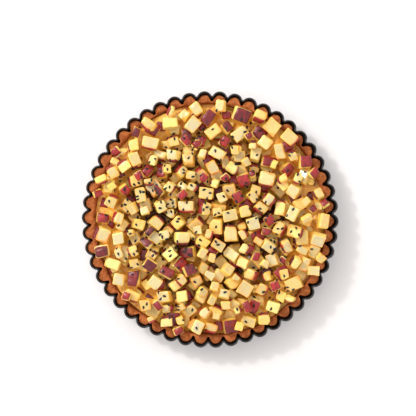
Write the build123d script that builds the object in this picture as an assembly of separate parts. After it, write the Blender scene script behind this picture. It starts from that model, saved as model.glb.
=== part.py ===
from build123d import *
import math
import os

import numpy as np

# A round fluted tart pan with a loose base, and the baked sweet potato tart that it holds.
# Millimetres, +Z up. The origin is the centre of the underside, on the surface that the pan stands on.

# --- pan ring: one pressed sheet, with flutes, a turned rim and an inward ledge at the foot -------------
RIM_DIAMETER = 250.0          # over the crests of the turned rim
PAN_HEIGHT = 28.0
FLUTE_COUNT = 50
RIM_FLUTE_DEPTH = 4.5         # crest to valley, at the rim
FOOT_FLUTE_DEPTH = 3.4        # crest to valley, at the foot
VALLEY_ROUND = 0.9            # radius of the valley between two flutes, on the rim's outer edge
WALL_FLARE = 7.0              # how much smaller in radius the foot is than the rim
SHEET = 0.8
RIM_WIDTH = 1.5               # turned rim, measured across the sheet
RIM_HEIGHT = 1.8
RIM_ROUND = 0.6
FOOT_ROUND = 1.2              # height and width of the rounded corner at the foot
LEDGE_WIDTH = 10.0            # inward from the valleys at the foot

# --- loose base: a plain disc that lies on the ledge and pushes up with the tart on it ---------------
BASE_THICKNESS = 1.0
BASE_CLEARANCE = 0.6          # radial gap to the valleys of the ring
BASE_EDGE = 0.3               # broken edge of the disc

# --- pastry case -------------------------------------------------------------------------------------
PASTRY_GAP = 0.35             # between the pastry and the ring
PASTRY_DROP = 3.0             # how far the pastry stops below the rim
PASTRY_FLOOR = 3.5
PASTRY_WALL = 3.4             # at a valley, where the wall is thinnest
PASTRY_EDGE = 1.2             # broken edge at the top of the inside

# --- filling: custard, cubes of potato with some skin on, and sesame seeds ---------------------------
FILLING_GAP = 0.1             # between the filling and the pastry wall
CUSTARD_DEPTH = 3.2
DIE_SIZE = 13.0               # mean edge of a potato cube
DIE_SPREAD = 0.26             # an edge is this share longer or shorter than the mean, at most
OFFCUT_SHARE = 0.72           # edge of an offcut, as a share of a cube's
DIE_GAP = 0.03                # between a cube and what it came to rest on
DIE_TRIES = 100               # cubes tried at each spot, of which the lowest stays
WALL_GAP = 0.4                # between a cube and the pastry
OVERHANG = 4.5                # how far a cube may lie out over the top of the pastry
SKIN_THICKNESS = 0.7
SKIN_SHARE = 0.55             # share of the cubes that have skin on one face
SKIN_UP = 0.36                # share of those that have it on the face that lies uppermost
HEAP_SEED = 11                # start of the random numbers

SEED_LENGTH = 3.4
SEED_WIDTH = 1.9
SEED_THICKNESS = 0.9
SEED_COUNT = 330
SEED_CLUSTERS = 44
SEED_SCATTER = 11.0           # spread of a cluster
SEED_GAP = 0.03               # between a seed and the cube that it lies on
SEED_SIDES = 6
SEED_TAPER = 0.3              # how much narrower one end is
LEVEL_ENOUGH = 0.6            # a seed stays on a face whose upward share is this or more

FLESH = ("potato_cubes_pale", "potato_cubes_golden", "potato_cubes_browned", "potato_cubes_soaked")
BAKED_SHARES = (0.42, 0.38, 0.2)          # of the first three, among the cubes that stand clear of custard
SKIN = ("potato_skins_red", "potato_skins_purple")
SKIN_SHARES = (0.72, 0.28)

# --- sizes that follow ---------------------------------------------------------------------------------
RIM_RADIUS = RIM_DIAMETER / 2
WALL_TOP = PAN_HEIGHT - RIM_HEIGHT
WALL_OUTSIDE = RIM_WIDTH - SHEET          # inward from the rim's outer edge
WALL_INSIDE = RIM_WIDTH
PASTRY_OUTSIDE = WALL_INSIDE + PASTRY_GAP
BASE_TOP = SHEET + BASE_THICKNESS
PASTRY_TOP = PAN_HEIGHT - PASTRY_DROP
FLOOR_TOP = BASE_TOP + PASTRY_FLOOR
CUSTARD_TOP = FLOOR_TOP + CUSTARD_DEPTH
SOAKED_BELOW = CUSTARD_TOP + 1.35 * DIE_SIZE  # cubes with their top below this are soaked through
HEAP_TOP = CUSTARD_TOP + 2.5 * DIE_SIZE
# Spots in each layer, size as a share of DIE_SIZE, largest tilt in degrees, usual stray from the spot, and
# height not to be passed. Small offcuts fill what the whole cubes leave open.
DIE_LAYERS = (
    (170, 1.0, 8, 2.0, SOAKED_BELOW),
    (260, OFFCUT_SHARE, 14, 5.0, SOAKED_BELOW),
    (240, 1.0, 22, 3.0, HEAP_TOP),
    (400, 1.0, 32, 5.0, HEAP_TOP),
    (300, OFFCUT_SHARE, 24, 6.0, HEAP_TOP),
)
STEP_ANGLE = 2 * math.pi / FLUTE_COUNT
GOLDEN_ANGLE = math.pi * (3 - math.sqrt(5))


# ===== flutes ===========================================================================================
def flute_size(z):
    """Crest radius and depth of the flutes at height z, on the rim's outer edge run straight down."""
    share = z / WALL_TOP
    crest = RIM_RADIUS - WALL_FLARE * (1 - share)
    depth = FOOT_FLUTE_DEPTH + (RIM_FLUTE_DEPTH - FOOT_FLUTE_DEPTH) * share
    return crest, depth


def valley_radius(z, inward):
    """Radius of the circle that touches the valleys at height z."""
    crest, depth = flute_size(z)
    return crest - depth - inward


def polar(radius, angle):
    return Vector(radius * math.cos(angle), radius * math.sin(angle))


def flute_outline(z, inward, drawn_at=None):
    """The flutes at height z as a closed ring of arcs: round crests that meet in tight valleys.

    The outline is moved inward by a distance, and may be drawn at another height.
    """
    crest, depth = flute_size(z)
    valley_centre = crest - depth + VALLEY_ROUND
    half = STEP_ANGLE / 2
    # The crest arc has the radius that makes it tangent to the valley arcs beside it.
    across = valley_centre * math.cos(half)
    crest_round = (crest**2 + valley_centre**2 - 2 * crest * across - VALLEY_ROUND**2) / (
        2 * (crest - across + VALLEY_ROUND)
    )
    crest_centre = crest - crest_round
    crest_arc = crest_round - inward
    valley_arc = VALLEY_ROUND + inward

    def joint(crest_angle, valley_angle):
        middle = polar(crest_centre, crest_angle)
        return middle + (polar(valley_centre, valley_angle) - middle).normalized() * crest_arc

    edges = []
    for k in range(FLUTE_COUNT):
        angle = k * STEP_ANGLE
        start = joint(angle, angle - half)
        end = joint(angle, angle + half)
        onward = joint(angle + STEP_ANGLE, angle + half)
        edges.append(ThreePointArc(start, polar(crest_centre + crest_arc, angle), end))
        edges.append(ThreePointArc(end, polar(valley_centre - valley_arc, angle + half), onward))
    return Pos(0, 0, z if drawn_at is None else drawn_at) * Wire(edges)


def fluted_block(levels):
    """A solid between fluted outlines, straight from each to the next. levels holds (z, inward)."""
    return Solid.make_loft([flute_outline(z, inward) for z, inward in levels], ruled=True)


# ===== pan ============================================================================================
def make_ring():
    foot = [(0, FOOT_ROUND), (FOOT_ROUND / 3, FOOT_ROUND / 3), (FOOT_ROUND, 0)]
    outside = fluted_block([(z, WALL_OUTSIDE + tuck) for z, tuck in foot] + [(WALL_TOP, WALL_OUTSIDE)])
    inside = fluted_block([(SHEET, WALL_INSIDE), (WALL_TOP, WALL_INSIDE)])
    hole_radius = valley_radius(0, WALL_INSIDE) - LEDGE_WIDTH
    hole = Pos(0, 0, SHEET / 2) * Cylinder(hole_radius, 2 * SHEET)
    rim_face = Face(flute_outline(WALL_TOP, 0), [flute_outline(WALL_TOP, WALL_INSIDE)])
    rim = extrude(rim_face, amount=RIM_HEIGHT, dir=(0, 0, 1))
    top = rim.edges().group_by(Axis.Z)[-1]
    rim = fillet(top, RIM_ROUND)
    return outside - inside - hole + rim


def make_base():
    disc = Pos(0, 0, SHEET + BASE_THICKNESS / 2) * Cylinder(
        valley_radius(SHEET, WALL_INSIDE) - BASE_CLEARANCE, BASE_THICKNESS
    )
    return chamfer(disc.edges(), BASE_EDGE)


# ===== pastry and custard =================================================================================
def pastry_bore(z):
    """Radius of the smooth inside of the pastry wall at height z."""
    return valley_radius(z, PASTRY_OUTSIDE) - PASTRY_WALL


def cone(low, high, narrower=0.0):
    """A solid that fills the pastry's inside between two heights, less a gap all round."""
    return Pos(0, 0, (low + high) / 2) * Cone(
        pastry_bore(low) - narrower, pastry_bore(high) - narrower, high - low
    )


def make_pastry():
    block = fluted_block([(BASE_TOP, PASTRY_OUTSIDE), (PASTRY_TOP, PASTRY_OUTSIDE)])
    case = block - cone(FLOOR_TOP, PASTRY_TOP + 1)
    mouth = case.edges().filter_by(GeomType.CIRCLE).group_by(Axis.Z)[-1].sort_by(SortBy.RADIUS)
    mouth = [e for e in mouth if abs(e.radius - pastry_bore(PASTRY_TOP)) < 0.01]
    return chamfer(mouth, PASTRY_EDGE)


def make_custard():
    return cone(FLOOR_TOP, CUSTARD_TOP, FILLING_GAP)


# ===== boxes that lie at any angle ======================================================================
class Blocks:
    """Boxes with their centres, their axes (the columns of a turn) and their sizes along each axis."""

    def __init__(self, centres, axes, sizes):
        self.centres = np.array(centres, float).reshape(-1, 3)
        self.axes = np.array(axes, float).reshape(-1, 3, 3)
        self.sizes = np.array(sizes, float).reshape(-1, 3)

    def __len__(self):
        return len(self.centres)

    def __getitem__(self, picked):
        return Blocks(self.centres[picked], self.axes[picked], self.sizes[picked])

    def joined(self, more):
        return Blocks(
            np.concatenate([self.centres, more.centres]),
            np.concatenate([self.axes, more.axes]),
            np.concatenate([self.sizes, more.sizes]),
        )

    def raised(self, heights):
        return Blocks(self.centres + np.outer(heights, (0, 0, 1)), self.axes, self.sizes)

    def tops(self):
        return self.centres[:, 2] + np.abs(self.axes[:, 2] * self.sizes).sum(1) / 2

    def bottoms(self):
        return 2 * self.centres[:, 2] - self.tops()

    def reaches(self):
        """From the centre of each box to its corners."""
        return np.linalg.norm(self.sizes, axis=1) / 2

    def along_edges(self, steps=5):
        """Points spaced along the twelve edges of each box, corners included."""
        shares = [
            np.roll([share, a, b], turn)
            for turn in range(3)
            for share in np.linspace(-0.5, 0.5, steps)
            for a in (-0.5, 0.5)
            for b in (-0.5, 0.5)
        ]
        return self.centres[:, None] + np.einsum("nij,pj,nj->npi", self.axes, shares, self.sizes)

    def near(self, x, y, reach):
        """The boxes that may come within a distance of the upright line at x, y."""
        return self[np.hypot(self.centres[:, 0] - x, self.centres[:, 1] - y) < self.reaches() + reach]

    def clashing_heights(self, others):
        """The heights by which each box could be raised and cut into each other one: from low to high.

        Two boxes are apart when their shadows on one of fifteen directions are: three face directions
        of each, and nine square to an edge of both. Raising a box moves its shadows at a steady rate.
        A pair that can't meet has its low above its high.
        """
        shape = (len(self), len(others), 3, 3)
        own = np.broadcast_to(self.axes.transpose(0, 2, 1)[:, None], shape)
        theirs = np.broadcast_to(others.axes.transpose(0, 2, 1)[None], shape)
        square = np.cross(own[:, :, :, None], theirs[:, :, None]).reshape(*shape[:2], 9, 3)
        directions = np.concatenate([own, theirs, square], axis=2)
        apart = others.centres[None] - self.centres[:, None]
        distance = np.einsum("nmdi,nmi->nmd", directions, apart)
        own_reach = np.abs(np.einsum("nmdi,nij->nmdj", directions, self.axes))
        their_reach = np.abs(np.einsum("nmdi,mij->nmdj", directions, others.axes))
        radius = np.einsum("nmdj,nj->nmd", own_reach, self.sizes / 2)
        radius += np.einsum("nmdj,mj->nmd", their_reach, others.sizes / 2)
        rate = directions[..., 2]
        level = np.abs(rate) < 1e-9
        rate = np.where(level, 1, rate)
        ends = np.stack([(distance - radius) / rate, (distance + radius) / rate])
        never = level & (np.abs(distance) > radius + 1e-9)
        low = np.where(level, -np.inf, ends.min(0)).max(2)
        high = np.where(level, np.inf, ends.max(0)).min(2)
        return np.where(never.any(2), np.inf, low), np.where(never.any(2), -np.inf, high)

    def cut_into(self, others):
        """For each box, true if it cuts into another."""
        low, high = self.clashing_heights(others)
        return ((low < 0) & (high > 0)).any(1)

    def skinned(self, axis, side, thickness):
        """The slabs next to one face of each box, and what is left of the boxes."""
        slab_sizes, rest_sizes = self.sizes.copy(), self.sizes.copy()
        slab_sizes[:, axis] = thickness
        rest_sizes[:, axis] -= thickness
        normal = self.axes[:, :, axis] * side
        slabs = Blocks(self.centres + normal * rest_sizes[:, [axis]] / 2, self.axes, slab_sizes)
        return slabs, Blocks(self.centres - normal * thickness / 2, self.axes, rest_sizes)

    def places(self):
        return [
            Plane(tuple(centre), tuple(axes[:, 0]), tuple(axes[:, 2])).location
            for centre, axes in zip(self.centres, self.axes)
        ]

    def solids(self):
        return [place * Box(*size) for place, size in zip(self.places(), self.sizes)]


NO_BLOCKS = Blocks([], [], [])


def turned(yaw, tilt, toward):
    """The axes of a box turned about Z, then tilted so that its top leans toward a direction."""
    cos, sin = math.cos(yaw), math.sin(yaw)
    spin = np.array([[cos, -sin, 0], [sin, cos, 0], [0, 0, 1]])
    x, y = -math.sin(toward), math.cos(toward)
    cross = np.array([[0, 0, y], [0, 0, -x], [-y, x, 0]])
    lean = np.eye(3) + math.sin(tilt) * cross + (1 - math.cos(tilt)) * cross @ cross
    return lean @ spin


# ===== the heap of potato cubes ==========================================================================
def landed(dice, heap):
    """The cubes where each would come to rest, let down from above on the custard or on the heap."""
    low, high = dice.clashing_heights(heap)
    on_heap = np.where(low < high, high, -np.inf).max(1, initial=-np.inf)
    return dice.raised(np.maximum(CUSTARD_TOP - dice.bottoms(), on_heap) + DIE_GAP)


def inside_pastry(dice):
    """For each cube, true if it is clear of the pastry wall or lies out over its top by a little."""
    points = dice.along_edges()
    out = np.hypot(points[..., 0], points[..., 1])
    walled = points[..., 2] < PASTRY_TOP + WALL_GAP
    room = pastry_bore(np.minimum(points[..., 2], PASTRY_TOP)) - WALL_GAP
    return (out <= np.where(walled, room, pastry_bore(PASTRY_TOP) + OVERHANG)).all(1)


def make_heap(chance):
    """Cubes strewn in layers, each spaced evenly like the seeds of a sunflower before it strays.

    Each spot has a random tilt. Of the cubes tried there, the one that lies lowest stays, and the spot stays
    empty where none of them would keep under the top of its layer.
    """
    heap = NO_BLOCKS
    for spots, share, tilt, stray, top in DIE_LAYERS:
        for spot in chance.permutation(spots):
            out = pastry_bore(PASTRY_TOP) * math.sqrt((spot + 0.5) / spots)
            x, y = out * math.cos(spot * GOLDEN_ANGLE), out * math.sin(spot * GOLDEN_ANGLE)
            sizes = share * DIE_SIZE * (1 + DIE_SPREAD * chance.uniform(-1, 1, (DIE_TRIES, 3)))
            lean = math.radians(tilt) * chance.uniform()
            yaws, directions = chance.uniform(0, 2 * math.pi, (2, DIE_TRIES))
            axes = [turned(yaw, lean, toward) for yaw, toward in zip(yaws, directions)]
            strays = chance.normal(0, stray, (DIE_TRIES, 2))
            centres = np.column_stack([x + strays[:, 0], y + strays[:, 1], np.zeros(DIE_TRIES)])
            dice = Blocks(centres, axes, sizes)
            dice = landed(dice, heap.near(x, y, DIE_SIZE + 3 * stray))
            dice = dice[inside_pastry(dice) & (dice.tops() < top)]
            if len(dice):
                heap = heap.joined(dice[[dice.centres[:, 2].argmin()]])
    return heap


def skinned_face(axes, chance):
    """The axis and the side of the face that has skin. The uppermost face is the likeliest."""
    up = np.abs(axes[2]).argmax()
    if chance.uniform() < SKIN_UP:
        return up, 1 if axes[2, up] > 0 else -1
    return (up + chance.integers(1, 3)) % 3, chance.choice((-1, 1))


def sort_heap(heap, chance):
    """Puts the cubes in groups by how they baked, and cuts skin from a face of some of them."""
    groups = {name: NO_BLOCKS for name in (*FLESH, *SKIN)}
    for k in range(len(heap)):
        die = heap[[k]]
        soaked = die.tops()[0] < SOAKED_BELOW
        look = "potato_cubes_soaked" if soaked else chance.choice(FLESH[:3], p=BAKED_SHARES)
        if chance.uniform() < SKIN_SHARE:
            axis, side = skinned_face(die.axes[0], chance)
            skin, die = die.skinned(axis, side, SKIN_THICKNESS)
            kind = chance.choice(SKIN, p=SKIN_SHARES)
            groups[kind] = groups[kind].joined(skin)
        groups[look] = groups[look].joined(die)
    return groups


# ===== sesame seeds ======================================================================================
def surface_below(x, y, heap):
    """The point and the face direction that a seed let down at x, y would meet first."""
    point, normal = np.array([x, y, CUSTARD_TOP]), np.array([0.0, 0.0, 1.0])
    for centre, axes, size in zip(heap.centres, heap.axes, heap.sizes):
        start = axes.T @ (np.array([x, y, 0]) - centre)
        ends = np.stack([(-size / 2 - start) / axes[2], (size / 2 - start) / axes[2]])
        low, high = ends.min(0).max(), ends.max(0)
        face = high.argmin()
        if low < high[face] and high[face] > point[2]:
            point = np.array([x, y, high[face]])
            normal = axes[:, face] * math.copysign(1, axes[2, face])
    return point, normal


def make_seeds(heap, chance):
    """Seeds strewn in clusters, each flat on the face that it fell on."""
    room = pastry_bore(CUSTARD_TOP) - SEED_LENGTH
    clusters = [
        (room * math.sqrt(chance.uniform()), chance.uniform(0, 2 * math.pi)) for _ in range(SEED_CLUSTERS)
    ]
    seeds = NO_BLOCKS
    while len(seeds) < SEED_COUNT:
        out, angle = clusters[chance.integers(SEED_CLUSTERS)]
        x = out * math.cos(angle) + chance.normal(0, SEED_SCATTER)
        y = out * math.sin(angle) + chance.normal(0, SEED_SCATTER)
        if math.hypot(x, y) > room:
            continue
        beside = heap.near(x, y, SEED_LENGTH)
        point, normal = surface_below(x, y, beside)
        if normal[2] < LEVEL_ENOUGH:
            continue
        along = np.cross(normal, turned(chance.uniform(0, 2 * math.pi), 0, 0)[0])
        along /= np.linalg.norm(along)
        axes = np.stack([along, np.cross(normal, along), normal], axis=1)
        seed = Blocks(
            point + normal * (SEED_THICKNESS / 2 + SEED_GAP), axes, (SEED_LENGTH, SEED_WIDTH, SEED_THICKNESS)
        )
        if not seed.cut_into(beside.joined(seeds.near(x, y, SEED_LENGTH)))[0]:
            seeds = seeds.joined(seed)
    return seeds


def make_seed():
    """A drop-shaped prism, blunt at one end and narrow at the other."""
    turns = [2 * math.pi * k / SEED_SIDES for k in range(SEED_SIDES)]
    outline = [
        (SEED_LENGTH / 2 * math.cos(t), SEED_WIDTH / 2 * math.sin(t) * (1 - SEED_TAPER * math.cos(t)))
        for t in turns
    ]
    return extrude(make_face(Polyline(outline, close=True)), amount=SEED_THICKNESS / 2, both=True)


# ===== all pieces ========================================================================================
def make_parts():
    chance = np.random.default_rng(HEAP_SEED)
    heap = make_heap(chance)
    seeds = make_seeds(heap, chance)
    parts = {
        "fluted_ring": make_ring(),
        "base_disc": make_base(),
        "pastry_case": make_pastry(),
        "custard": make_custard(),
        "sesame_seeds": Compound([place * make_seed() for place in seeds.places()]),
    }
    for name, blocks in sort_heap(heap, chance).items():
        parts[name] = Compound(blocks.solids())
    return parts


os.makedirs("parts", exist_ok=True)
for name, shape in make_parts().items():
    export_step(shape, f"parts/{name}.step")
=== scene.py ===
"""Looks of a fluted tart pan with a baked sweet potato tart in it, around the CAD frame. Metres, +Z up."""

import math

import bpy
import numpy as np
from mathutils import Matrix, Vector
from mathutils.bvhtree import BVHTree


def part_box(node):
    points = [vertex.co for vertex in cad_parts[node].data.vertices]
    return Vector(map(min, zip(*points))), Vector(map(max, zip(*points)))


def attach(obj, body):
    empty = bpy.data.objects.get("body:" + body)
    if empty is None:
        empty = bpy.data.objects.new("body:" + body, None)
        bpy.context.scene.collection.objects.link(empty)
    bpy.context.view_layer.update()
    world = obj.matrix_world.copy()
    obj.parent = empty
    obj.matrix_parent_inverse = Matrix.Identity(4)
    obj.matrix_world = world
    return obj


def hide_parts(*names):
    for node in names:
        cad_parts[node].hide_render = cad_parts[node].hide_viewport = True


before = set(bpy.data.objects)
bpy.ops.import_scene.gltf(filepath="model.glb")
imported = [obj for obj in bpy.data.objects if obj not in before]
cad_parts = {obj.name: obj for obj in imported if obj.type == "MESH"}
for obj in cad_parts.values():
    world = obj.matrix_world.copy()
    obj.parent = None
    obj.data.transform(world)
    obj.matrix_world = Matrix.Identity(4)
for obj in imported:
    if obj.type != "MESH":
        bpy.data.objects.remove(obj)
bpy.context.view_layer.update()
MM = 0.001
WELD = 0.001 * MM                    # points of the frame nearer than this are one point
TOUCHING = 0.05 * MM                 # a slab of skin this near to a cube's side lies on it

# --- camera: straight above the pan, which lies a little off the middle of the picture ----------------------
CAMERA_HEIGHT = 1.25
SEEN_WIDTH = 0.4048                  # what the picture spans at the height of the rim
PAN_OFF_MIDDLE = (0.0021, -0.0112)
CAMERA_ROLL = math.radians(0.9)
SENSOR = 36.0                        # millimetres, as the lens

# --- light: all round, brighter from the upper left, where the window is ------------------------------------
WINDOW = Vector((-0.75, 0.6, 1.0))
SKY_DIM, SKY_BRIGHT = 0.92, 1.5      # away from the window and toward it
OVERHEAD_DIM = 0.9                   # what is left of the sky straight above, where the camera hangs
KEY_POWER, KEY_SIZE = 6.0, 0.6
SPARK_POWER, SPARK_SIZE = 7.0, 0.12  # small and hard, for the glints on what is wet

# --- potato cubes -------------------------------------------------------------------------------------------
FLESH_NODES = ("potato_cubes_pale", "potato_cubes_golden", "potato_cubes_browned", "potato_cubes_soaked")
SKIN_NODES = ("potato_skins_red", "potato_skins_purple")
CUT_ROUND = (0.9 * MM, 2.0 * MM)     # softened edges of a cube, least and most
CUT_WARP = (-0.8 * MM, 0.7 * MM)     # how far a corner of a cube may stray, in and out
CUT_SLICES = 2                       # slanting cuts that may take off a corner or an edge
SLICE_DEPTH = (-2.6 * MM, 2.4 * MM)  # of such a cut; below zero it misses the cube
CUT_DENT = (-0.2 * MM, 0.45 * MM)    # at the middle of a face
CUT_WAVE, WAVE_PITCH = 0.22 * MM, 4.5 * MM
SKIN_DOME = 0.9 * MM                 # how far the skin side falls away at the middle of an edge
SKIN_INSET = 0.5 * MM                # from the outside of the skin to the flesh under it
SKIN_THICKNESS = 0.55 * MM
SKIN_ROLL = 0.25 * MM                # how far the skin rolls down at its edge
SKIN_LAP = 1.1                       # reach of the skin from the middle of its side; past 1 it laps over
PATCH_LINES = 13

# --- custard: how far below the smoothed tops of the heap it lies, in the middle and by the crust -----------
SUNK_MIDDLE, SUNK_EDGE = 11.0 * MM, 5.4 * MM
LEVEL_MIDDLE, LEVEL_EDGE = 1.5 * MM, 8.0 * MM    # the least height of the pool above the CAD's
SUNK_WAVE, SUNK_PITCH = 1.6 * MM, 26 * MM        # how both of these waver
LEVEL_WAVE, LEVEL_PITCH = 1.4 * MM, 30 * MM
POOL_WAVE, POOL_PITCH = 0.6 * MM, 5 * MM         # small waves in its top
POOL_MIDDLE, POOL_EDGE = 0.6, 0.96   # shares of its radius between which it goes from middle to edge
BRIM_BELOW = 0.8 * MM                # how far below the top of the CAD's crust it stays
# painted shade: over this depth below the tops the pool is painted dark brown
GAP_SHADE_FROM, GAP_SHADE_TO = 5.5 * MM, 11 * MM           # depth below the tops over which it darkens
POOL_OVER = 1.9 * MM                 # how far it laps over the inside of the crust
POOL_RINGS, POOL_AROUND = 150, 420
POOL_CELL = 1.1 * MM

# --- pastry ------------------------------------------------------------------------------------------------
FLUTES = 50                          # as in the ring
PASTRY_STEPS = 14                    # points around each flute
PASTRY_TIGHT = 1.8 * MM              # radius in the valleys
PASTRY_PULL = 2.0 * MM               # how far the pastry has shrunk from the ring on one side
PULL_TOWARD = math.radians(-12)      # the side where the gap shows
PULL_UNEVEN = 0.15 * MM              # and how unevenly, all round
CRUST_PROUD = 0.1 * MM               # its outside beyond the CAD's flutes
CRUST_RAISED = 0.3 * MM              # its top above the CAD's, before it crumbles
VALLEY_DROP = 0.4 * MM               # how much lower the top is in the valleys
LIP_INSIDE = 1.6 * MM                # its inside from the CAD custard's edge, at the lip and at the floor
FLOOR_INSIDE = 0.45 * MM
LIP_FALL_OUT, LIP_FALL_IN = 1.8 * MM, 3.9 * MM   # how far the lip rounds down on the outside and the inside
LIP_SLOPE = 1.1 * MM                 # how much lower the lip is on the inside
WALL_BELOW = 4.4 * MM                # where the inside wall starts below the top
LUMP, LUMP_MOST = 0.4 * MM, 0.6 * MM
LIP_WAVER = 0.24 * MM                # how far the lip strays in and out
FOOT_ROUND = 1.9 * MM
FLUTE_ROOM = 7 * MM                  # more than the depth of a flute
AT_HEIGHT = 0.02 * MM                # points of the frame this near to a height are at it

SEED_HALF = np.array((0.98, 0.55, 1.76)) * MM    # width, thickness and length of half a sesame seed
SEED_TAPER = 0.3

rng = np.random.default_rng(7)


# ===== small tools =========================================================================================
def unit(v):
    return v / np.maximum(np.linalg.norm(v, axis=-1, keepdims=True), 1e-12)


def smooth(low, high, x):
    t = np.clip((x - low) / (high - low), 0, 1)
    return t * t * (3 - 2 * t)


def ripple(points, size, seed, waves=9):
    """Smooth random values near -1 to 1, with bumps of about a size: a sum of waves in random directions."""
    chance = np.random.default_rng(seed)
    points = np.asarray(points, float)
    total = np.zeros(points.shape[:-1])
    for _ in range(waves):
        direction = unit(chance.normal(size=points.shape[-1]))
        pitch = 2 * math.pi / (size * chance.uniform(1.2, 3.0))
        total += np.sin(points @ direction * pitch + chance.uniform(0, 2 * math.pi))
    return total / math.sqrt(waves)


def circle_of(around):
    """The angles of points around a circle, and the points."""
    angle = np.arange(around) / around * 2 * math.pi
    return angle, np.stack([np.cos(angle), np.sin(angle)], -1)


def grid_faces(rows, columns, closed=False):
    """Quads between the rows of a grid of points, each row joined end to end if closed."""
    across = columns if closed else columns - 1
    r, c = np.meshgrid(np.arange(rows - 1), np.arange(across), indexing="ij")
    a = r * columns + c
    b = r * columns + (c + 1) % columns
    return np.stack([a, b, b + columns, a + columns], -1).reshape(-1, 4)


def closed_skin(radius, height, ends):
    """Points and faces of a skin through rings, which have a radius and a height at each point around.

    The rings go from the underside outward and up. A point at the middle closes each end, at the height in
    ends.
    """
    rings, around = radius.shape
    circle = circle_of(around)[1]
    points = np.stack([radius * circle[:, 0], radius * circle[:, 1], height], -1).reshape(-1, 3)
    points = np.concatenate([points, [(0, 0, z) for z in ends]])
    first, last = rings * around, (rings - 1) * around
    faces = grid_faces(rings, around, closed=True).tolist()
    for k in range(around):
        after = (k + 1) % around
        faces.append((first, after, k))
        faces.append((last + k, last + after, first + 1))
    return points, faces


def merged(pieces):
    """The points, faces and notes of many pieces, each a tuple of those three, as one."""
    faces, start = [], 0
    for points, own, _ in pieces:
        faces += [tuple(int(v) + start for v in face) for face in own]
        start += len(points)
    return np.concatenate([p for p, _, _ in pieces]), faces, np.concatenate([n for _, _, n in pieces])


def mesh_object(name, points, faces, notes, material, node, slot):
    """A piece of the tart that stands for a CAD node. notes holds three numbers for each point."""
    mesh = bpy.data.meshes.new(name)
    mesh.from_pydata(points.tolist(), [], faces)
    mesh.polygons.foreach_set("use_smooth", [True] * len(mesh.polygons))
    layer = mesh.attributes.new("notes", "FLOAT_COLOR", "POINT")
    layer.data.foreach_set("color", np.column_stack([notes, np.ones(len(notes))]).astype(np.float32).ravel())
    mesh.materials.append(material)
    mesh.update()
    obj = bpy.data.objects.new(name, mesh)
    bpy.context.scene.collection.objects.link(obj)
    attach(obj, "tart")
    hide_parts(node)
    return obj


# ===== materials ===========================================================================================
class Look:
    """A material being made from nodes."""

    def __init__(self, name):
        self.material = bpy.data.materials.new(name)
        self.material.use_nodes = True
        self.tree = self.material.node_tree
        self.tree.nodes.clear()
        output = self.tree.nodes.new("ShaderNodeOutputMaterial")
        self.shader = self.tree.nodes.new("ShaderNodeBsdfPrincipled")
        self.tree.links.new(self.shader.outputs[0], output.inputs["Surface"])
        self.place = self.tree.nodes.new("ShaderNodeTexCoord").outputs["Object"]

    def feed(self, socket, value):
        if isinstance(value, bpy.types.NodeSocket):
            self.tree.links.new(value, socket)
        elif isinstance(value, tuple) and socket.type == "RGBA":
            socket.default_value = (*value, 1)
        else:
            socket.default_value = value

    def set(self, **values):
        for name, value in values.items():
            self.feed(self.shader.inputs[name.replace("_", " ")], value)

    def noise(self, size, detail=4.0, roughness=0.55, stretch=(1, 1, 1), distortion=0.0):
        """Noise from 0 to 1 with bumps of about a size in metres."""
        mapping = self.tree.nodes.new("ShaderNodeMapping")
        mapping.inputs["Scale"].default_value = stretch
        self.feed(mapping.inputs["Vector"], self.place)
        node = self.tree.nodes.new("ShaderNodeTexNoise")
        self.feed(node.inputs["Vector"], mapping.outputs[0])
        for name, number in (("Scale", 1 / size), ("Detail", detail), ("Roughness", roughness),
                             ("Distortion", distortion)):
            node.inputs[name].default_value = number
        return node.outputs["Fac"]

    def cells(self, size):
        """Distance from the middle of the nearest of many small cells, from 0 to about 1."""
        node = self.tree.nodes.new("ShaderNodeTexVoronoi")
        node.inputs["Scale"].default_value = 1 / size
        self.feed(node.inputs["Vector"], self.place)
        return node.outputs["Distance"]

    def math(self, operation, a, b):
        node = self.tree.nodes.new("ShaderNodeMath")
        node.operation = operation
        self.feed(node.inputs[0], a)
        self.feed(node.inputs[1], b)
        return node.outputs[0]

    def times(self, a, b):
        return self.math("MULTIPLY", a, b)

    def plus(self, a, b):
        return self.math("ADD", a, b)

    def step(self, value, low, high, out_low=0.0, out_high=1.0):
        """A value taken smoothly from low to high, on to out_low to out_high."""
        node = self.tree.nodes.new("ShaderNodeMapRange")
        node.interpolation_type = "SMOOTHSTEP"
        self.feed(node.inputs["Value"], value)
        for name, number in zip(("From Min", "From Max", "To Min", "To Max"), (low, high, out_low, out_high)):
            node.inputs[name].default_value = number
        return node.outputs["Result"]

    def mix(self, share, a, b):
        node = self.tree.nodes.new("ShaderNodeMix")
        node.data_type = "RGBA"
        self.feed(node.inputs["Factor"], share)
        self.feed(node.inputs["A"], a)
        self.feed(node.inputs["B"], b)
        return node.outputs["Result"]

    def split(self, colour):
        node = self.tree.nodes.new("ShaderNodeSeparateColor")
        self.feed(node.inputs[0], colour)
        return node.outputs[:3]

    def notes(self):
        """The three numbers that the mesh holds at each point."""
        node = self.tree.nodes.new("ShaderNodeAttribute")
        node.attribute_name = "notes"
        return self.split(node.outputs["Color"])

    def upward(self):
        """How far the surface faces up, from -1 to 1."""
        node = self.tree.nodes.new("ShaderNodeNewGeometry")
        split = self.tree.nodes.new("ShaderNodeSeparateXYZ")
        self.feed(split.inputs[0], node.outputs["Normal"])
        return split.outputs["Z"]

    def height(self):
        split = self.tree.nodes.new("ShaderNodeSeparateXYZ")
        self.feed(split.inputs[0], self.place)
        return split.outputs["Z"]

    def bump(self, height, depth, strength=1.0, under=None):
        node = self.tree.nodes.new("ShaderNodeBump")
        node.inputs["Strength"].default_value = strength
        node.inputs["Distance"].default_value = depth
        self.feed(node.inputs["Height"], height)
        if under is not None:
            self.feed(node.inputs["Normal"], under)
        return node.outputs["Normal"]


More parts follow.
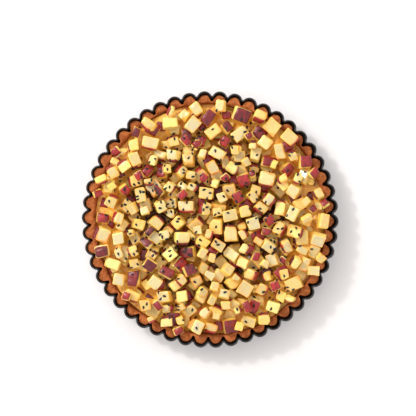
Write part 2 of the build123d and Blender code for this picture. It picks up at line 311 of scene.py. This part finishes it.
def coated_steel(name, black, scuffs):
    """Satin black non-stick coating with a fine orange peel, and scuffs along the pressed walls."""
    look = Look(name)
    speckle = look.noise(0.5 * MM, 2)
    cloud = look.noise(18 * MM, 3)
    scratch = look.step(look.noise(1.2 * MM, 5, 0.7, stretch=(1, 1, 0.12)), 0.6, 0.72)
    rubbed = look.times(scratch, look.step(cloud, 0.45, 0.75, 0, scuffs))
    colour = look.mix(look.step(cloud, 0.3, 0.7), black, tuple(1.7 * c for c in black))
    look.set(
        Base_Color=look.mix(rubbed, colour, (0.16, 0.155, 0.15)),
        Roughness=look.step(look.plus(look.times(cloud, 0.6), look.times(speckle, 0.4)), 0.3, 0.7, 0.3, 0.46),
        IOR=1.46,
        Normal=look.bump(speckle, 0.05 * MM, 0.35),
    )
    return look.material


def potato(name, top, side, deep, wet):
    """Potato flesh with painted light: cream where it faces up, a glowing gold on the sides and darker gold
    low in the heap. Rougher on top, glossier on the sides, browned at edges.
    """
    look = Look(name)
    tone, edge, browned = look.notes()
    grain = look.noise(0.6 * MM, 4, 0.65)
    mottle = look.noise(3.0 * MM, 3, 0.6)
    cloud = look.noise(9 * MM, 2)
    unsure = look.times(look.math("SUBTRACT", mottle, 0.5), 0.7)
    # painted light: faces that point up get the cream top colour and the sides the glowing gold side colour,
    # for light falling on the tops and shining through the sides
    facing = look.step(look.plus(look.upward(), unsure), 0.45, 1.0)
    colour = look.mix(facing, side, top)
    # painted shade: darker gold lower in the heap, where less light reaches
    colour = look.mix(look.step(look.height(), 15 * MM, 31 * MM, 0.35, 0), colour, deep)
    colour = look.mix(look.times(look.times(tone, tone), 0.8), colour, side)
    colour = look.mix(look.step(cloud, 0.5, 0.75, 0, 0.4), colour, deep)
    bright = tuple(min(1, 1.16 * c + 0.03) for c in top)
    colour = look.mix(look.step(grain, 0.5, 0.78, 0, 0.4), colour, bright)
    colour = look.mix(look.step(grain, 0.24, 0.42, 0.35, 0), colour, deep)
    # painted light: toward their edges the tops shade into the glowing gold side colour
    colour = look.mix(look.step(look.plus(edge, look.times(unsure, 0.5)), 0.7, 1.05, 0, 0.6), colour, side)
    scorch = look.step(look.plus(look.times(edge, 0.42), look.times(cloud, 0.62)), 0.6, 0.76)
    colour = look.mix(look.times(look.times(scorch, browned), 0.9), colour, (0.76, 0.26, 0.04))
    pits = look.step(look.cells(1.5 * MM), 0.0, 0.35)
    normal = look.bump(grain, 0.16 * MM, 0.6)
    normal = look.bump(mottle, 0.8 * MM, 0.6, normal)
    normal = look.bump(pits, 0.1 * MM, 0.4, normal)
    look.set(
        Base_Color=colour,
        Roughness=look.step(look.plus(facing, look.times(grain, 0.5)), 0.2, 1.3, 0.28, 0.5),
        Subsurface_Weight=0.6,
        Subsurface_Radius=(1.0, 0.6, 0.2),
        Subsurface_Scale=2.8 * MM,
        IOR=1.34,
        Coat_Weight=wet,
        Coat_Roughness=0.1,
        Normal=normal,
    )
    return look.material


def potato_skin(name, bright, dark):
    """Glossy wet skin with darker streaks, pale specks and thin pink edges."""
    look = Look(name)
    tone, edge, _ = look.notes()
    streak = look.noise(3.0 * MM, 4, 0.62, stretch=(1, 0.35, 1), distortion=0.8)
    speck = look.step(look.noise(0.7 * MM, 2), 0.62, 0.72)
    wrinkle = look.noise(1.1 * MM, 4, 0.6, stretch=(1, 0.4, 1))
    colour = look.mix(look.step(streak, 0.36, 0.64), bright, dark)
    colour = look.mix(look.times(tone, 0.5), colour, dark)
    colour = look.mix(look.times(speck, 0.3), colour, (0.55, 0.16, 0.10))
    colour = look.mix(look.step(edge, 0.95, 1.0, 0, 0.35), colour, (0.60, 0.12, 0.07))
    look.set(
        Base_Color=colour,
        Roughness=look.step(streak, 0.3, 0.7, 0.18, 0.36),
        Subsurface_Weight=0.06,
        Subsurface_Radius=(1.0, 0.25, 0.2),
        Subsurface_Scale=0.8 * MM,
        IOR=1.3,
        Coat_Weight=0.6,
        Coat_Roughness=0.05,
        Normal=look.bump(look.noise(4 * MM, 2), 1.8 * MM, 0.7, look.bump(wrinkle, 0.3 * MM, 0.7)),
    )
    return look.material


def custard_look():
    """Set custard with a wet shine: golden where it stands high, with painted shade in patches of the deep
    gaps.
    """
    look = Look("custard_glossy")
    depth, by_crust, _ = look.notes()
    blotch = look.noise(6 * MM, 4, 0.6, distortion=0.6)
    fine = look.noise(1.4 * MM, 3)
    colour = look.mix(look.step(blotch, 0.35, 0.68), (0.96, 0.57, 0.085), (0.84, 0.36, 0.03))
    colour = look.mix(look.times(by_crust, 0.4), colour, (0.92, 0.56, 0.12))
    baked = look.step(look.noise(8 * MM, 3, 0.6), 0.47, 0.61, 0, 0.75)
    colour = look.mix(look.times(by_crust, baked), colour, (0.74, 0.27, 0.04))
    gap_shade_patches = look.step(look.noise(20 * MM, 2), 0.4, 0.56, 0.4, 1.0)
    # painted shade: dark brown in patches where the pool lies deep between the cubes, none by the crust
    colour = look.mix(look.times(depth, gap_shade_patches), colour, (0.085, 0.022, 0.004))
    look.set(
        Base_Color=colour,
        Roughness=look.step(fine, 0.35, 0.7, 0.1, 0.24),
        Subsurface_Weight=0.12,
        Subsurface_Radius=(1.0, 0.4, 0.06),
        Subsurface_Scale=3 * MM,
        IOR=1.36,
        Coat_Weight=0.35,
        Coat_Roughness=0.05,
        Normal=look.bump(fine, 0.4 * MM, 0.6, look.bump(blotch, 2.4 * MM, 0.7)),
    )
    return look.material


def pastry_look():
    """Baked shortcrust: terracotta, grainy and matt, with painted shade where its lip rolls down at both
    edges and down its inside wall, and paler under the base.
    """
    look = Look("pastry_baked")
    lip, pale, _ = look.notes()
    crumb = look.noise(0.9 * MM, 5, 0.7)
    blotch = look.noise(4 * MM, 3, 0.62)
    wide = look.noise(24 * MM, 2)
    colour = look.mix(look.step(blotch, 0.36, 0.66), (0.34, 0.080, 0.018), (0.55, 0.165, 0.040))
    colour = look.mix(look.step(wide, 0.4, 0.65, 0, 0.45), colour, (0.29, 0.066, 0.015))
    # painted shade: darker where the lip rolls down and on the inside wall
    colour = look.mix(look.times(lip, 0.6), colour, (0.15, 0.034, 0.008))
    colour = look.mix(look.step(crumb, 0.52, 0.68, 0, 0.6), colour, (0.66, 0.28, 0.09))
    colour = look.mix(look.step(crumb, 0.34, 0.46, 0.8, 0), colour, (0.10, 0.022, 0.005))
    colour = look.mix(look.times(pale, 0.55), colour, (0.66, 0.38, 0.16))
    look.set(
        Base_Color=colour,
        Roughness=look.step(crumb, 0.3, 0.7, 0.5, 0.72),
        IOR=1.3,
        Subsurface_Weight=0.05,
        Subsurface_Radius=(1.0, 0.4, 0.2),
        Subsurface_Scale=1.0 * MM,
        Normal=look.bump(look.cells(1.7 * MM), 0.7 * MM, 0.7, look.bump(crumb, 0.8 * MM, 0.9)),
    )
    return look.material


def sesame_look():
    """Black sesame: satin black with a faint brown cast in patches."""
    look = Look("sesame_black")
    fine = look.noise(0.25 * MM, 3)
    cloud = look.noise(2 * MM, 2)
    look.set(
        Base_Color=look.mix(look.step(cloud, 0.4, 0.65), (0.006, 0.005, 0.006), (0.020, 0.017, 0.018)),
        Roughness=look.step(fine, 0.3, 0.7, 0.32, 0.5),
        IOR=1.36,
        Normal=look.bump(fine, 0.05 * MM, 0.6),
    )
    return look.material


# ===== reading the CAD solids ==============================================================================
def solids_of(node):
    """The separate solids of a CAD node: for each, its points and its triangles' corners."""
    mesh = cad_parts[node].data
    points = np.empty(len(mesh.vertices) * 3)
    mesh.vertices.foreach_get("co", points)
    points = points.reshape(-1, 3)
    whole = (points / WELD).round().astype(int)
    _, first, same = np.unique(whole, axis=0, return_index=True, return_inverse=True)
    points = points[first]
    mesh.calc_loop_triangles()
    corners = np.empty(len(mesh.loop_triangles) * 3, int)
    mesh.loop_triangles.foreach_get("vertices", corners)
    corners = same.ravel()[corners].reshape(-1, 3)
    group, before = np.arange(len(points)), None
    while before is None or (group != before).any():
        before = group.copy()
        least = group[corners].min(1)
        for side in range(3):
            np.minimum.at(group, corners[:, side], least)
        group = group[group]
    found = []
    for one in np.unique(group[corners]):
        own = corners[group[corners[:, 0]] == one]
        used, local = np.unique(own, return_inverse=True)
        found.append((points[used], local.reshape(-1, 3)))
    return sorted(found, key=lambda solid: tuple((solid[0].mean(0) / 1e-5).round()))


def box_of(points, corners):
    """The centre, axes (as rows, the last one the most upright) and size of a solid that is a box."""
    centre = (points.min(0) + points.max(0)) / 2
    a, b, c = (points[corners[:, k]] for k in range(3))
    normals = unit(np.cross(b - a, c - a))
    third = normals[np.abs(normals[:, 2]).argmax()]
    third = third * math.copysign(1, third[2])
    flat = normals[np.abs(normals @ third) < 0.3]
    first = flat[np.abs(flat[:, 0]).argmax()]
    first = unit(first - third * (first @ third)) * math.copysign(1, first[0])
    axes = np.stack([first, np.cross(third, first), third])
    return centre, axes, np.ptp(points @ axes.T, axis=0)


# ===== potato cubes ========================================================================================
class Die:
    """One cube of potato as it was cut: a box with soft, skewed sides, and skin on one of them or none."""

    def __init__(self, centre, axes, size, skin=None, skin_node=None):
        self.centre, self.axes, self.half = centre, axes, size / 2
        self.skin, self.skin_node = skin, skin_node
        self.round = rng.uniform(*CUT_ROUND)
        self.warp = rng.uniform(*CUT_WARP, (2, 2, 2, 3))
        self.dent = rng.uniform(*CUT_DENT)
        self.tone, self.browned = rng.uniform(size=2)
        self.seed = int(rng.integers(1 << 30))
        self.slices = []
        for direction in unit(rng.normal(size=(CUT_SLICES, 3))):
            reach = np.abs(direction) @ (self.half - self.round) + self.round
            self.slices.append((direction, reach - rng.uniform(*SLICE_DEPTH)))

    def surface(self, p, inset=0.0):
        """Points on the cube's outside for points p on the outside of a cube from -1 to 1."""
        q = p * self.half
        core = np.clip(q, self.round - self.half, self.half - self.round)
        q = core + unit(q - core) * self.round
        share = (q / self.half + 1) / 2
        x, y, z = (np.stack([1 - share[:, i], share[:, i]], 1) for i in range(3))
        q = q * (1 + np.einsum("na,nb,nc,abci->ni", x, y, z, self.warp) / self.half)
        for direction, reach in self.slices:
            q = q - np.outer(np.maximum(q @ direction - reach, 0), direction)
        bow = 1 - p**2
        q = q - p * bow[:, [1, 2, 0]] * bow[:, [2, 0, 1]] * self.dent
        q = q + unit(q) * (ripple(q + self.centre, WAVE_PITCH, self.seed, 6) * CUT_WAVE)[:, None]
        if self.skin is not None:
            axis, side = self.skin
            near = smooth(0.0, 1.0, p[:, axis] * side)
            fall = np.delete(p**2, axis, axis=1).sum(1) * SKIN_DOME + inset
            q = q * (1 - near[:, None] * inset / self.half)
            q[:, axis] -= side * fall * near
        return self.centre + q @ self.axes


def face_lines(half, rounding):
    """Where grid lines cross an axis of a cube, from -1 to 1: close together on the rounded edges."""
    flat = half - rounding
    outer = np.array([flat, half - 0.45 * rounding, half])
    return np.concatenate([-outer[::-1], np.linspace(-0.6, 0.6, 4) * flat, outer]) / half


def die_mesh(die):
    """Points on a cube from -1 to 1 and the quads between them, with no doubled points."""
    lines = [face_lines(half, die.round) for half in die.half]
    points, faces, count = [], [], 0
    for axis in range(3):
        a, b = (axis + 1) % 3, (axis + 2) % 3
        for side in (-1, 1):
            u, v = np.meshgrid(lines[a], lines[b], indexing="ij")
            p = np.empty((u.size, 3))
            p[:, axis], p[:, a], p[:, b] = side, u.ravel(), v.ravel()
            quads = grid_faces(len(lines[a]), len(lines[b])) + count
            faces.append(quads if side > 0 else quads[:, ::-1])
            points.append(p)
            count += len(p)
    points, faces = np.concatenate(points), np.concatenate(faces)[:, ::-1]
    whole = (points * 1e5).round().astype(int)
    _, first, same = np.unique(whole, axis=0, return_index=True, return_inverse=True)
    return points[first], same.ravel()[faces]


def skin_on(centre, axes, size, slabs):
    """The slab of skin against a box: the side that it is on, how thick it is, and its node."""
    for axis in range(3):
        for side in (-1, 1):
            outward = axes[axis] * side
            for (middle, _, slab_size), node in slabs:
                thickness = slab_size.min()
                gap = middle - centre - outward * (size[axis] + thickness) / 2
                if np.linalg.norm(gap) < TOUCHING:
                    return axis, side, thickness, node
    return None


def read_dice():
    """The cubes in each group of flesh, each as it was before the skin was cut from it."""
    slabs = [(box_of(*solid), node) for node in SKIN_NODES for solid in solids_of(node)]
    groups = {}
    for node in FLESH_NODES:
        groups[node] = []
        for solid in solids_of(node):
            centre, axes, size = box_of(*solid)
            reach = np.linalg.norm(size)
            near = [slab for slab in slabs if np.linalg.norm(slab[0][0] - centre) < reach]
            found = skin_on(centre, axes, size, near)
            if found:
                axis, side, thickness, skin_node = found
                centre = centre + axes[axis] * side * thickness / 2
                size = size + np.eye(3)[axis] * thickness
                groups[node].append(Die(centre, axes, size, (axis, side), skin_node))
            else:
                groups[node].append(Die(centre, axes, size))
    return groups


def flesh_piece(die):
    """The flesh of a cube, a little below its skin if it has one."""
    p, quads = die_mesh(die)
    edge = np.sort(np.abs(p), axis=1)[:, 1]
    notes = np.stack([np.full(len(p), die.tone), edge, np.full(len(p), die.browned)], 1)
    return die.surface(p, SKIN_INSET), quads, notes


def skin_piece(die):
    """A thin curved patch over the skin side of a cube, with a closed edge."""
    axis, side = die.skin
    a, b = (axis + 1) % 3, (axis + 2) % 3
    size = PATCH_LINES
    line = np.sin(np.linspace(-1, 1, size) * math.pi / 2)
    u, v = np.meshgrid(line, line, indexing="ij")
    rim = np.maximum(np.abs(u), np.abs(v))
    reach = (SKIN_LAP + 0.03 * ripple(np.stack([u, v], -1), 0.9, die.seed, 5)) * (1 - 0.14 * (u * v) ** 2)
    p = np.empty((size, size, 3))
    p[..., axis], p[..., a], p[..., b] = side * (1 - np.maximum(rim * reach - 1, 0)), u * reach, v * reach
    outer = die.surface(np.clip(p, -1, 1).reshape(-1, 3)).reshape(size, size, 3)
    normal = unit(np.cross(np.gradient(outer, axis=0), np.gradient(outer, axis=1))) * side
    outer = outer - normal * (SKIN_ROLL * smooth(0.93, 1.0, rim))[..., None]
    points = np.concatenate([outer.reshape(-1, 3), (outer - normal * SKIN_THICKNESS).reshape(-1, 3)])
    index = np.arange(size * size).reshape(size, size)
    ring = np.concatenate([index[0, :-1], index[:-1, -1], index[-1, :0:-1], index[:0:-1, 0]])
    after = np.roll(ring, -1)
    wall = np.stack([ring, after, after + size * size, ring + size * size], 1)
    top = grid_faces(size, size)
    faces = np.concatenate([top[:, ::-1], top + size * size, wall])
    edge = np.concatenate([rim.ravel(), np.ones(size * size)])
    notes = np.stack([np.full(len(edge), die.tone), edge, edge], 1)
    return points, faces if side > 0 else faces[:, ::-1], notes


def build_heap():
    """The cubes, an object for each group, and their skins, one for each colour."""
    groups = read_dice()
    made = []
    for node, (colours, wet) in FLESH_COLOURS.items():
        points, faces, notes = merged([flesh_piece(die) for die in groups[node]])
        name = node.replace("potato_cubes", "baked_cubes")
        material = potato(node.replace("potato_cubes", "flesh"), *colours, wet)
        made.append(mesh_object(name, points, faces, notes, material, node, node.replace("cubes_", "")))
    for node, colours in SKIN_COLOURS.items():
        own = [die for dice in groups.values() for die in dice if die.skin_node == node]
        points, faces, notes = merged([skin_piece(die) for die in own])
        slot = node.replace("potato_skins", "skin")
        name = node.replace("potato_skins", "glossy_skins")
        made.append(mesh_object(name, points, faces, notes, potato_skin(slot, *colours), node, slot))
    return made


# ===== custard =============================================================================================
def blurred(field, width):
    """A field smoothed by three passes of a box that reaches a number of cells each way."""
    kernel = np.ones(2 * width + 1) / (2 * width + 1)
    for _ in range(3):
        for axis in (0, 1):
            padded = np.pad(field, [(width, width) if i == axis else (0, 0) for i in (0, 1)], mode="edge")
            field = np.apply_along_axis(lambda row: np.convolve(row, kernel, "valid"), axis, padded)
    return field


def drop(tree, x, y):
    """Where something let go above a point lands: the place and the direction of the face, or None twice."""
    return tree.ray_cast(Vector((x, y, 1.0)), Vector((0, 0, -1)))[:2]


def tops_below(tree, line, low):
    """The height of the heap under each point of a square grid, or a low height where there is none."""
    field = np.full((len(line), len(line)), low)
    for j, y in enumerate(line):
        for i, x in enumerate(line):
            hit = drop(tree, x, y)[0]
            if hit is not None:
                field[j, i] = max(hit.z, low)
    return field


def sampled(field, line, x, y):
    """Values of a gridded field at points between its lines."""
    across, up = ((v - line[0]) / (line[1] - line[0]) for v in (x, y))
    i, j = across.astype(int), up.astype(int)
    across, up = across - i, up - j
    near = field[j, i] * (1 - across) + field[j, i + 1] * across
    far = field[j + 1, i] * (1 - across) + field[j + 1, i + 1] * across
    return near * (1 - up) + far * up


def build_custard(tree):
    """A glossy pool that fills the case, stands high near the crust and sinks between the middle cubes."""
    low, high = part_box("custard")
    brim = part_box("pastry_case")[1].z - BRIM_BELOW
    radius = high.x + POOL_OVER
    line = np.arange(-radius - 2 * POOL_CELL, radius + 3 * POOL_CELL, POOL_CELL)
    filled = blurred(tops_below(tree, line, high.z), 3)
    out = np.linspace(1, 0, POOL_RINGS, endpoint=False)[:, None] ** 0.8 * np.ones(POOL_AROUND)
    circle = circle_of(POOL_AROUND)[1]
    flat = out[..., None] * radius * circle
    tops = sampled(filled, line, flat[..., 0], flat[..., 1])
    by_crust = smooth(POOL_MIDDLE, POOL_EDGE, out)
    sunk = SUNK_MIDDLE + (SUNK_EDGE - SUNK_MIDDLE) * by_crust + SUNK_WAVE * ripple(flat, SUNK_PITCH, 3)
    level = high.z + LEVEL_MIDDLE + (LEVEL_EDGE - LEVEL_MIDDLE) * by_crust
    level = level + LEVEL_WAVE * ripple(flat, LEVEL_PITCH, 5)
    z = tops - sunk + POOL_WAVE * ripple(flat, POOL_PITCH, 4, 12)
    z = level + np.logaddexp(0, (z - level) / MM) * MM
    z = np.minimum(z, brim)
    # painted shade: how deep the pool lies below the tops of the heap, none by the crust
    depth = smooth(GAP_SHADE_FROM, GAP_SHADE_TO, tops - z) * (1 - by_crust)
    rings = np.concatenate([[np.full(POOL_AROUND, radius)], out * radius])
    heights = np.concatenate([[np.full(POOL_AROUND, low.z)], z])
    points, faces = closed_skin(rings, heights, (low.z, z[-1].mean()))
    notes = np.zeros((len(points), 3))
    notes[POOL_AROUND:-2, 0] = depth.ravel()
    notes[POOL_AROUND:-2, 1] = by_crust.ravel()
    return mesh_object("custard_pool", points, faces, notes, custard_look(), "custard", "custard")


# ===== pastry ==============================================================================================
def flute_radius(angle, crest, valley):
    """Radius of a fluted outline: round crests that meet in tight valleys, both of them arcs."""
    half, tight = math.pi / FLUTES, PASTRY_TIGHT
    phase = (angle + half) % (2 * half) - half
    centre = valley + tight
    across = centre * math.cos(half)
    big = (crest**2 + centre**2 - 2 * crest * across - tight**2) / (2 * (crest - across + tight))
    middle = crest - big
    on_crest = middle * np.cos(phase) + np.sqrt(np.maximum(big**2 - (middle * np.sin(phase)) ** 2, 0))
    turn = half - np.abs(phase)
    on_valley = centre * np.cos(turn) - np.sqrt(np.maximum(tight**2 - (centre * np.sin(turn)) ** 2, 0))
    joint = math.atan2(math.sin(half) * centre, across - middle)
    reach = np.arctan2(on_crest * np.sin(np.abs(phase)), on_crest * np.cos(phase) - middle)
    return np.where(np.abs(reach) < joint, on_crest, on_valley)


def outline_at(z):
    """Greatest and least radius of the CAD pastry's fluted outside at its foot or at its top."""
    points = np.array([v.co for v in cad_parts["pastry_case"].data.vertices])
    out = np.hypot(*points[np.abs(points[:, 2] - z) < AT_HEIGHT, :2].T)
    return out.max(), out[out > out.max() - FLUTE_ROOM].min()


def build_pastry():
    """The baked case as one closed skin: its bottom, fluted outside, rounded lip and smooth inside."""
    low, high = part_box("pastry_case")
    floor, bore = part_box("custard")[0].z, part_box("custard")[1].x
    foot, mouth = outline_at(low.z), outline_at(high.z)
    tall = high.z - low.z
    angle, circle = circle_of(FLUTES * PASTRY_STEPS)
    flat = np.ones(len(angle))
    bake = ripple(circle, 0.5, 21, 14)
    crumble = ripple(circle, 0.1, 22, 16)
    lobes = (flute_radius(angle, *mouth) - mouth[1]) / (mouth[0] - mouth[1])
    pull = PASTRY_PULL * (0.5 + 0.5 * np.cos(angle - PULL_TOWARD)) ** 0.8 + PULL_UNEVEN * (bake + 1)

    def outside(share):
        crest, valley = (foot[i] + (mouth[i] - foot[i]) * share for i in (0, 1))
        return flute_radius(angle, crest, valley) + CRUST_PROUD - pull * share**1.6

    rim, corner = outside(1.0), outside(0.0) - FOOT_ROUND
    inner = bore + LIP_INSIDE + (0.9 * bake + 0.6 * crumble) * MM
    top = high.z + CRUST_RAISED - (0.55 * bake + 0.3 * crumble) * MM - VALLEY_DROP * (1 - lobes) ** 2
    rows = []
    for share in (0.4, 0.8, 0.95):
        rows.append((share * corner, low.z * flat, 0, 1))
    for turn in np.linspace(0, math.pi / 2, 4):
        z = low.z + FOOT_ROUND * (1 - math.cos(turn))
        rows.append((corner + FOOT_ROUND * math.sin(turn), z * flat, 0, 1))
    for share in np.linspace(0.14, 0.84, 9):
        rows.append((outside(share), (low.z + share * tall) * flat, 0, 1 - share))
    for turn in np.linspace(0, math.pi, 15)[:-1]:
        spread = (1 - math.cos(turn)) / 2
        fall = LIP_FALL_OUT + (LIP_FALL_IN - LIP_FALL_OUT) * spread
        fall = fall * (1 - math.sin(turn) ** 0.5) + LIP_SLOPE * spread**2
        # painted shade: light on top of the lip, darkest where it rolls down inside, darker where it rolls
        # down outside
        lip = 0.2 + 0.8 * max(-math.cos(turn), 0) ** 4 + 0.2 * max(math.cos(turn), 0) ** 2
        rows.append((rim + (inner - rim) * spread, top - fall, lip, 0))
    for share in np.linspace(0, 1, 7):
        z = (top - WALL_BELOW) * (1 - share) + floor * share
        # painted shade: darkest at the top of the inside wall, fading toward the floor
        rows.append((inner * (1 - share) + (bore + FLOOR_INSIDE) * share, z, 1 - share, 0))
    rows.append((0.5 * bore * flat, floor * flat, 0, 0))
    points, faces = closed_skin(*(np.array([row[i] for row in rows]) for i in (0, 1)), (low.z, floor))
    lip, pale = (np.append(np.repeat([row[i] for row in rows], len(angle)), (0, 0)) for i in (2, 3))
    outward = np.column_stack([unit(points[:, :2]), np.zeros(len(points))])
    on_lip = np.clip(lip * 3, 0, 1)
    lumps = (ripple(points, 2.2 * MM, 31, 18) + ripple(points, 6 * MM, 32, 12)) * LUMP
    points[:, 2] += np.minimum(lumps, LUMP_MOST) * on_lip
    points += outward * (ripple(points, 3.0 * MM, 33, 14) * LIP_WAVER * on_lip)[:, None]
    notes = np.stack([lip, pale, lip], 1)
    return mesh_object("pastry_crust", points, faces, notes, pastry_look(), "pastry_case", "pastry")


# ===== sesame seeds ========================================================================================
def seed_shape(rings=7, around=10):
    """A drop from -1 to 1, lengthwise along its last axis, with its narrow end up."""
    turn = np.linspace(0, math.pi, rings + 2)[1:-1, None] * np.ones(around)
    return closed_skin(np.sin(turn) * (1 + SEED_TAPER * np.cos(turn)), -np.cos(turn), (-1, 1))


def build_seeds(tree):
    """Each seed lies on the face below it, turned as in the CAD."""
    shape, faces = seed_shape()
    seeds = []
    for corners, _ in solids_of("sesame_seeds"):
        x, y, _ = (corners.min(0) + corners.max(0)) / 2
        spot, normal = (np.array(v) for v in drop(tree, x, y))
        lengthwise = np.linalg.svd(corners - corners.mean(0))[2][0]
        along = unit(lengthwise - normal * (lengthwise @ normal))
        size = SEED_HALF * rng.uniform(0.88, 1.1)
        axes = np.stack([np.cross(normal, along), normal, along])
        points = spot + normal * 0.5 * size[1] + (shape * size) @ axes
        seeds.append((points, faces, np.zeros((len(shape), 3))))
    return mesh_object("sesame_scatter", *merged(seeds), sesame_look(), "sesame_seeds", "sesame_black")


def tree_of(objects):
    """One search tree over the faces of some objects."""
    points, faces = [], []
    for obj in objects:
        start = len(points)
        points += [v.co.copy() for v in obj.data.vertices]
        faces += [[v + start for v in p.vertices] for p in obj.data.polygons]
    return BVHTree.FromPolygons(points, faces)


# ===== pan =================================================================================================
def dress_pan():
    """Coats the pressed ring and the loose base."""
    for node, slot, black, scuffs in (
        ("fluted_ring", "nonstick_ring", (0.0095, 0.009, 0.0095), 0.35),
        ("base_disc", "nonstick_base", (0.013, 0.0125, 0.0135), 0.8),
    ):
        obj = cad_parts[node]
        obj.data.materials.clear()
        obj.data.materials.append(coated_steel(slot, black, scuffs))


# ===== studio ==============================================================================================
def build_table():
    """A pale stone table top, a little pinker and greyer in clouds."""
    look = Look("table_top")
    cloud = look.noise(0.25, 3)
    look.set(Base_Color=look.mix(look.step(cloud, 0.4, 0.65), (0.725, 0.700, 0.692), (0.694, 0.662, 0.655)),
             Roughness=0.55)
    mesh = bpy.data.meshes.new("table_top")
    mesh.from_pydata([(-3, -3, 0), (3, -3, 0), (3, 3, 0), (-3, 3, 0)], [], [(0, 1, 2, 3)])
    mesh.materials.append(look.material)
    table = bpy.data.objects.new("table_top", mesh)
    bpy.context.scene.collection.objects.link(table)
    table.location.z = -0.2 * MM


def build_sky():
    """Daylight from all round, brighter toward the window and a little dimmer straight above."""
    world = bpy.data.worlds.new("daylight")
    world.use_nodes = True
    nodes, links = world.node_tree.nodes, world.node_tree.links
    place = nodes.new("ShaderNodeTexCoord").outputs["Generated"]
    toward = nodes.new("ShaderNodeVectorMath")
    toward.operation = "DOT_PRODUCT"
    links.new(place, toward.inputs[0])
    toward.inputs[1].default_value = WINDOW.normalized()
    bright = nodes.new("ShaderNodeMapRange")
    links.new(toward.outputs["Value"], bright.inputs["Value"])
    for name, number in (("From Min", -0.3), ("From Max", 1.0), ("To Min", SKY_DIM), ("To Max", SKY_BRIGHT)):
        bright.inputs[name].default_value = number
    upward = nodes.new("ShaderNodeSeparateXYZ")
    links.new(place, upward.inputs[0])
    overhead = nodes.new("ShaderNodeMapRange")
    overhead.interpolation_type = "SMOOTHSTEP"
    links.new(upward.outputs["Z"], overhead.inputs["Value"])
    for name, number in (("From Min", 0.86), ("From Max", 0.97), ("To Min", 1.0), ("To Max", OVERHEAD_DIM)):
        overhead.inputs[name].default_value = number
    strength = nodes.new("ShaderNodeMath")
    strength.operation = "MULTIPLY"
    links.new(bright.outputs["Result"], strength.inputs[0])
    links.new(overhead.outputs["Result"], strength.inputs[1])
    sky = nodes["Background"]
    sky.inputs["Color"].default_value = (1.0, 0.985, 0.97, 1)
    links.new(strength.outputs[0], sky.inputs["Strength"])
    bpy.context.scene.world = world


def build_lamps():
    """A soft lamp and a small hard one, both at the window."""
    for name, size, power in (("key", KEY_SIZE, KEY_POWER), ("spark", SPARK_SIZE, SPARK_POWER)):
        light = bpy.data.lights.new(name, "AREA")
        light.shape = "DISK"
        light.size = size
        light.energy = power
        lamp = bpy.data.objects.new(name, light)
        bpy.context.scene.collection.objects.link(lamp)
        lamp.location = WINDOW
        lamp.rotation_euler = (-WINDOW).to_track_quat("-Z", "Y").to_euler()


def build_camera():
    """Looks straight down, from where the pan lies off the middle of the picture by a set amount."""
    data = bpy.data.cameras.new("camera")
    data.sensor_width = SENSOR
    data.lens = SENSOR * (CAMERA_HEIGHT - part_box("fluted_ring")[1].z) / SEEN_WIDTH
    data.clip_end = 20
    camera = bpy.data.objects.new("camera", data)
    bpy.context.scene.collection.objects.link(camera)
    cos, sin = math.cos(CAMERA_ROLL), math.sin(CAMERA_ROLL)
    off_x, off_y = PAN_OFF_MIDDLE
    camera.location = (-(off_x * cos - off_y * sin), -(off_x * sin + off_y * cos), CAMERA_HEIGHT)
    camera.rotation_euler = (0, 0, CAMERA_ROLL)
    bpy.context.scene.camera = camera


# ===== all of it ===========================================================================================
# Colours of the flesh facing up, on its sides and deep in the heap, and how wet it is.
# The first three are painted light and shade: cream for lit tops, glowing gold for the sides, darker gold low
# in the heap.
FLESH_COLOURS = {
    "potato_cubes_pale": (((0.52, 0.445, 0.265), (0.95, 0.70, 0.20), (0.88, 0.57, 0.10)), 0.35),
    "potato_cubes_golden": (((0.51, 0.39, 0.168), (0.94, 0.62, 0.13), (0.84, 0.48, 0.07)), 0.45),
    "potato_cubes_browned": (((0.52, 0.41, 0.192), (0.94, 0.59, 0.12), (0.82, 0.44, 0.06)), 0.4),
    "potato_cubes_soaked": (((0.75, 0.595, 0.225), (0.92, 0.64, 0.14), (0.78, 0.47, 0.06)), 0.6),
}
# Colours of the skin and of the streaks in it.
SKIN_COLOURS = {
    "potato_skins_red": ((0.40, 0.016, 0.013), (0.155, 0.005, 0.007)),
    "potato_skins_purple": ((0.23, 0.010, 0.011), (0.078, 0.004, 0.006)),
}

build_camera()
build_table()
build_sky()
build_lamps()
dress_pan()
heap = build_heap()
crust = build_pastry()
pool = build_custard(tree_of(heap))
build_seeds(tree_of([*heap, pool, crust]))

bpy.context.scene.view_settings.view_transform = "Standard"
